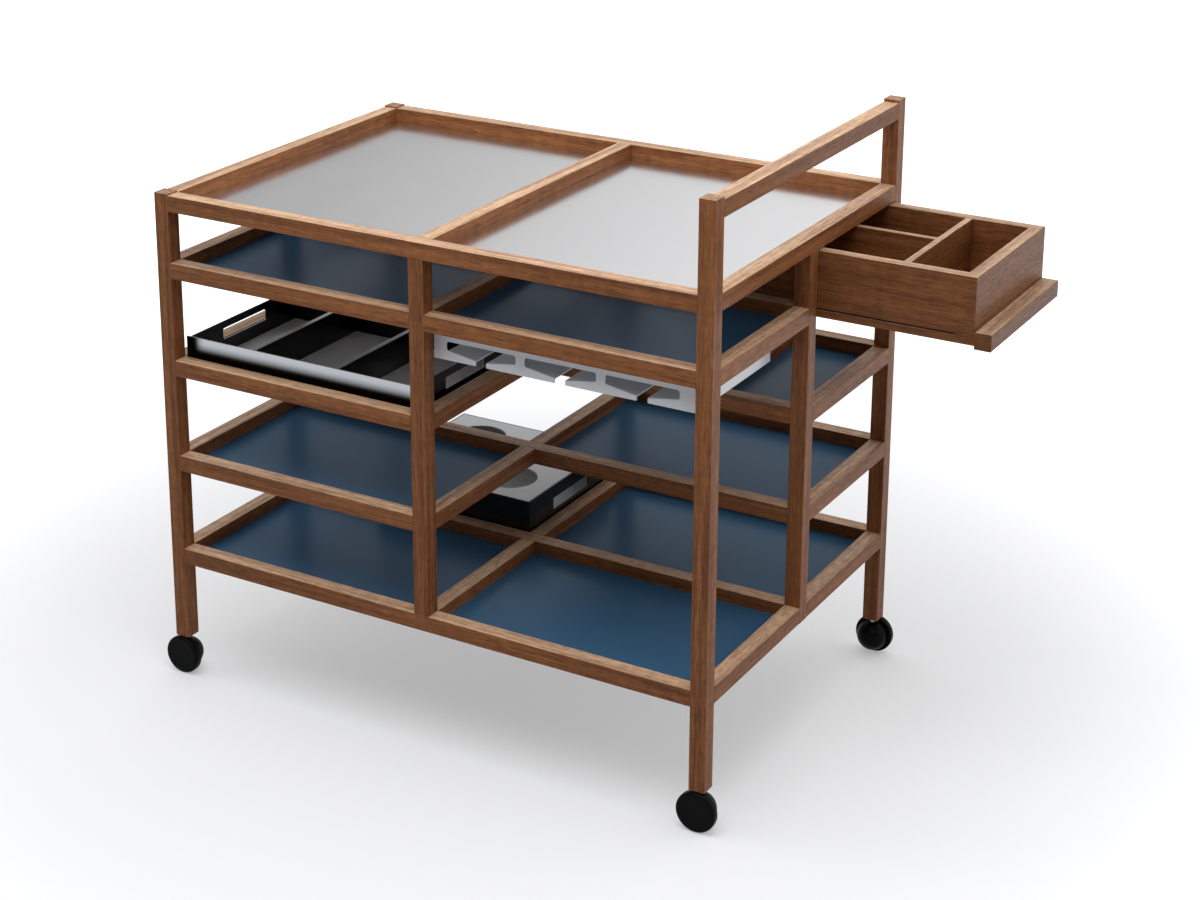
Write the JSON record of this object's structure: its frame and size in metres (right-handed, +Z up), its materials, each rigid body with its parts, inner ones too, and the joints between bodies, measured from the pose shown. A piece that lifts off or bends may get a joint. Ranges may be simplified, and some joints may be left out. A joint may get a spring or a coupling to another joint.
{
  "type": "cheese trolley",
  "caption": "Serving trolley on castors: square wooden frame with staggered shelves, divided drawer, stem-glass rack, lift-out tray and jar box, raised handle.",
  "frame": {"origin": "on the floor, under the middle of the wooden frame", "axes": "+X towards the handle end, +Y to the back, +Z up"},
  "size_m": [1.169, 0.6136, 0.8855],
  "materials": {
    "walnut": "oiled, satin",
    "navy_panel": "satin laminate",
    "silver_panel": "fine satin",
    "black_steel": "satin powder coat",
    "grey_plate": "matt paint",
    "rack_grey": "satin paint",
    "castor_black": "satin nylon",
    "bright_steel": "drawn",
    "dowel_beech": "plain beech"
  },
  "bodies": {
    "frame": {"bottom_centre_rail": "walnut", "bottom_cross_rail": "walnut", "bottom_long_rails": "walnut", "bottom_shelves": "navy_panel", "bottom_short_rails": "walnut", "castor_stems": "bright_steel", "drawer_runners": "bright_steel", "frame_dowels": "dowel_beech", "handle_rail": "walnut", "lower_centre_rail": "walnut", "lower_cross_rail": "walnut", "lower_long_rails": "walnut", "lower_shelves": "navy_panel", "lower_short_rails": "walnut", "middle_centre_rail": "walnut", "middle_cross_rail": "walnut", "middle_long_rails": "walnut", "middle_shelves": "navy_panel", "middle_short_rails": "walnut", "post_back_left": "walnut", "post_back_right": "walnut", "post_front_left": "walnut", "post_front_right": "walnut", "stem_rack": "rack_grey", "top_back_rail": "walnut", "top_cross_rail": "walnut", "top_front_rail": "walnut", "top_left_rail": "walnut", "top_panel_left": "silver_panel", "top_panel_right": "silver_panel", "top_right_rail": "walnut", "upper_centre_rail": "walnut", "upper_cross_rail": "walnut", "upper_long_rails": "walnut", "upper_shelves": "navy_panel", "upper_short_rails": "walnut", "upright_back": "walnut", "upright_front": "walnut", "upright_left": "walnut", "upright_right": "walnut"},
    "drawer": {"drawer_back": "walnut", "drawer_cross_divider": "walnut", "drawer_floor": "walnut", "drawer_front": "walnut", "drawer_long_divider": "walnut", "drawer_pull": "walnut", "drawer_side_far": "walnut", "drawer_side_near": "walnut"},
    "tray": {"tray": "black_steel", "tray_dividers": "black_steel"},
    "box": {"box_insert": "black_steel", "box_plate": "grey_plate"},
    "swivel_front_left": {"castor_front_left_housing": "castor_black"},
    "wheel_front_left": {"castor_front_left_wheel": "castor_black"},
    "swivel_back_left": {"castor_back_left_housing": "castor_black"},
    "wheel_back_left": {"castor_back_left_wheel": "castor_black"},
    "swivel_front_right": {"castor_front_right_housing": "castor_black"},
    "wheel_front_right": {"castor_front_right_wheel": "castor_black"},
    "swivel_back_right": {"castor_back_right_housing": "castor_black"},
    "wheel_back_right": {"castor_back_right_wheel": "castor_black"}
  },
  "joints": [
    {"name": "drawer_slide", "type": "slide", "parent": "frame", "child": "drawer", "axis": [1, 0, 0], "range_m": [-0.2515, 0]},
    {"name": "tray_lift", "type": "slide", "parent": "frame", "child": "tray", "axis": [0, 0, 1], "range_m": [0, 0.08]},
    {"name": "box_lift", "type": "slide", "parent": "frame", "child": "box", "axis": [0, 0, 1], "range_m": [0, 0.12]},
    {"name": "swivel_front_left", "type": "hinge", "parent": "frame", "child": "swivel_front_left", "pos_m": [-0.438, -0.29, 0.06], "axis": [0, 0, 1], "continuous": true},
    {"name": "roll_front_left", "type": "hinge", "parent": "swivel_front_left", "child": "wheel_front_left", "pos_m": [-0.438, -0.29, 0.0295], "axis": [0, 1, 0], "continuous": true},
    {"name": "swivel_back_left", "type": "hinge", "parent": "frame", "child": "swivel_back_left", "pos_m": [-0.438, 0.29, 0.06], "axis": [0, 0, 1], "continuous": true},
    {"name": "roll_back_left", "type": "hinge", "parent": "swivel_back_left", "child": "wheel_back_left", "pos_m": [-0.438, 0.29, 0.0295], "axis": [0, 1, 0], "continuous": true},
    {"name": "swivel_front_right", "type": "hinge", "parent": "frame", "child": "swivel_front_right", "pos_m": [0.438, -0.29, 0.06], "axis": [0, 0, 1], "continuous": true},
    {"name": "roll_front_right", "type": "hinge", "parent": "swivel_front_right", "child": "wheel_front_right", "pos_m": [0.438, -0.29, 0.0295], "axis": [0, 1, 0], "continuous": true},
    {"name": "swivel_back_right", "type": "hinge", "parent": "frame", "child": "swivel_back_right", "pos_m": [0.438, 0.29, 0.06], "axis": [0, 0, 1], "continuous": true},
    {"name": "roll_back_right", "type": "hinge", "parent": "swivel_back_right", "child": "wheel_back_right", "pos_m": [0.438, 0.29, 0.0295], "axis": [0, 1, 0], "continuous": true}
  ]
}
